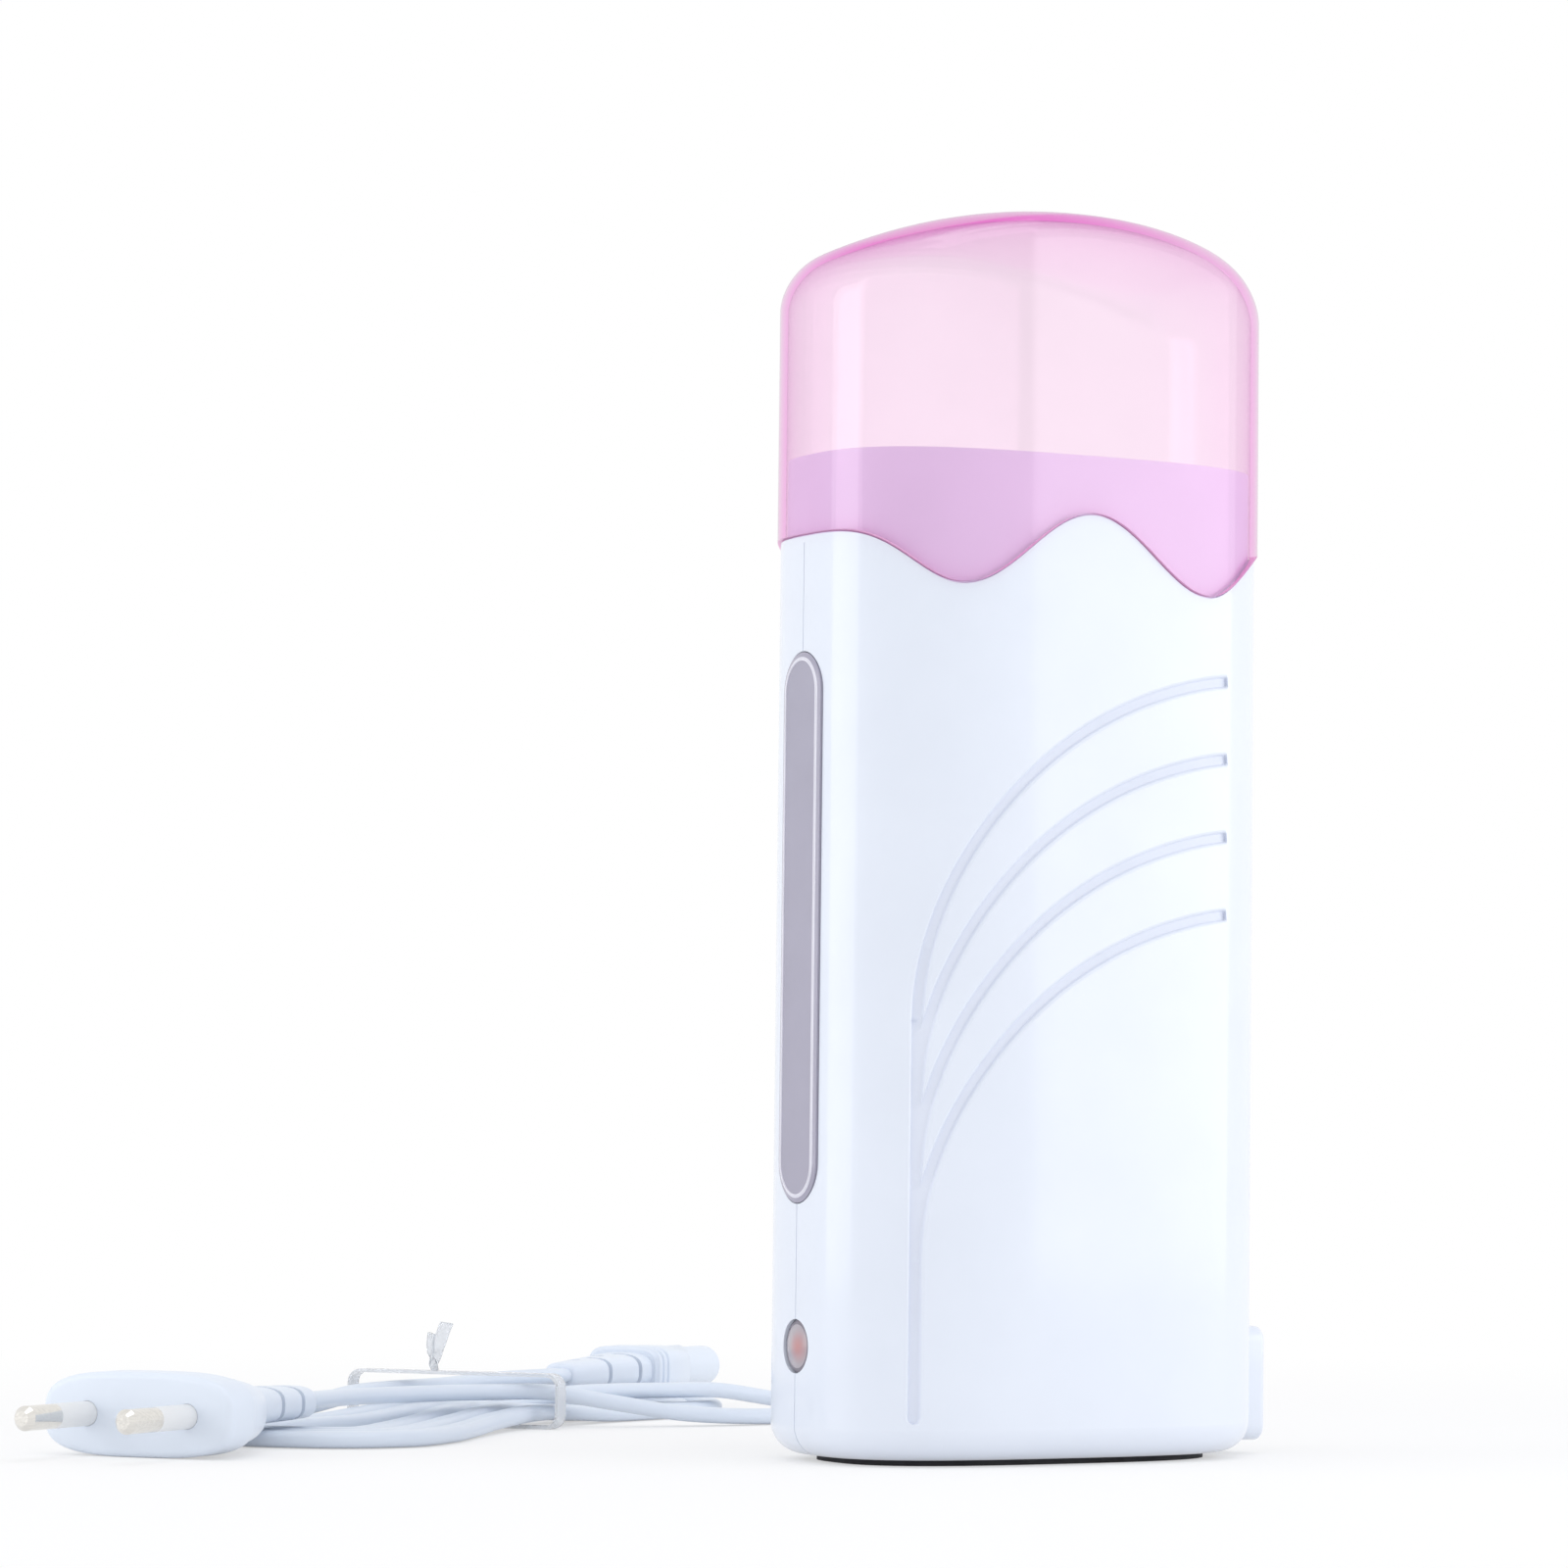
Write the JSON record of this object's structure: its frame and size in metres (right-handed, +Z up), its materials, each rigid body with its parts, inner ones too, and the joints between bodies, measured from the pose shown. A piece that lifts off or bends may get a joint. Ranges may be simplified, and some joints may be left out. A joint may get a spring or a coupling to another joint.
{
  "type": "roll on wax heater",
  "caption": "Upright roll on wax heater with a heated cartridge well, sight window, indicator lamp, power inlet, lift-off clear cap and a coiled detachable mains cord beside it.",
  "frame": {"origin": "middle of the base pad's underside, on the surface that the heater stands on", "axes": "+Z up, -Y towards the front with the grooves, -X towards the sight window, +X towards the power inlet"},
  "size_m": [0.1992, 0.2011, 0.205],
  "materials": {
    "shell": "glossy bluish white",
    "pad": "matt",
    "cap": "clear pink, glossy",
    "well": "heat resistant, satin",
    "lens": "translucent grey",
    "bulb": "clear red",
    "board": "laminate",
    "resistor": "lacquered",
    "contact": "nickel plated",
    "plate": "rolled",
    "element": "wrapped in film",
    "spring": "spring strip",
    "rivet": "plain",
    "sheet": "mica",
    "thermostat": "moulded",
    "wire": "sleeved",
    "screw": "zinc plated",
    "cord_plastic": "soft moulded",
    "sleeve": "moulded",
    "cord_skin": "flexible sheath",
    "tie": "clear strip"
  },
  "bodies": {
    "heater": {"front_shell": "shell", "rear_shell": "shell", "base_pad": "pad", "cartridge_well": "well", "window_lens": "lens", "lamp_lens": "lens", "indicator_bulb": "bulb", "lamp_board": "board", "lamp_resistor": "resistor", "inlet_housing": "shell", "inlet_pins": "contact", "heater_plate": "plate", "ptc_element": "element", "ptc_clamp": "spring", "clamp_rivets": "rivet", "insulation_sheet": "sheet", "thermostat": "thermostat", "wire_live": "wire", "wire_neutral": "wire", "wire_lamp": "wire", "case_screws": "screw", "plug_body": "cord_plastic", "plug_pins": "contact", "plug_sleeves": "sleeve", "plug_relief": "cord_plastic", "cord": "cord_skin", "cord_hank": "cord_skin", "cord_tie": "tie", "connector_body": "cord_plastic", "connector_relief": "cord_plastic", "connector_sleeves": "contact"},
    "cap": {"cap": "cap"}
  },
  "joints": [
    {"name": "cap_lift", "type": "slide", "parent": "heater", "child": "cap", "axis": [0, 0, 1], "range_m": [0, 0.065]}
  ]
}
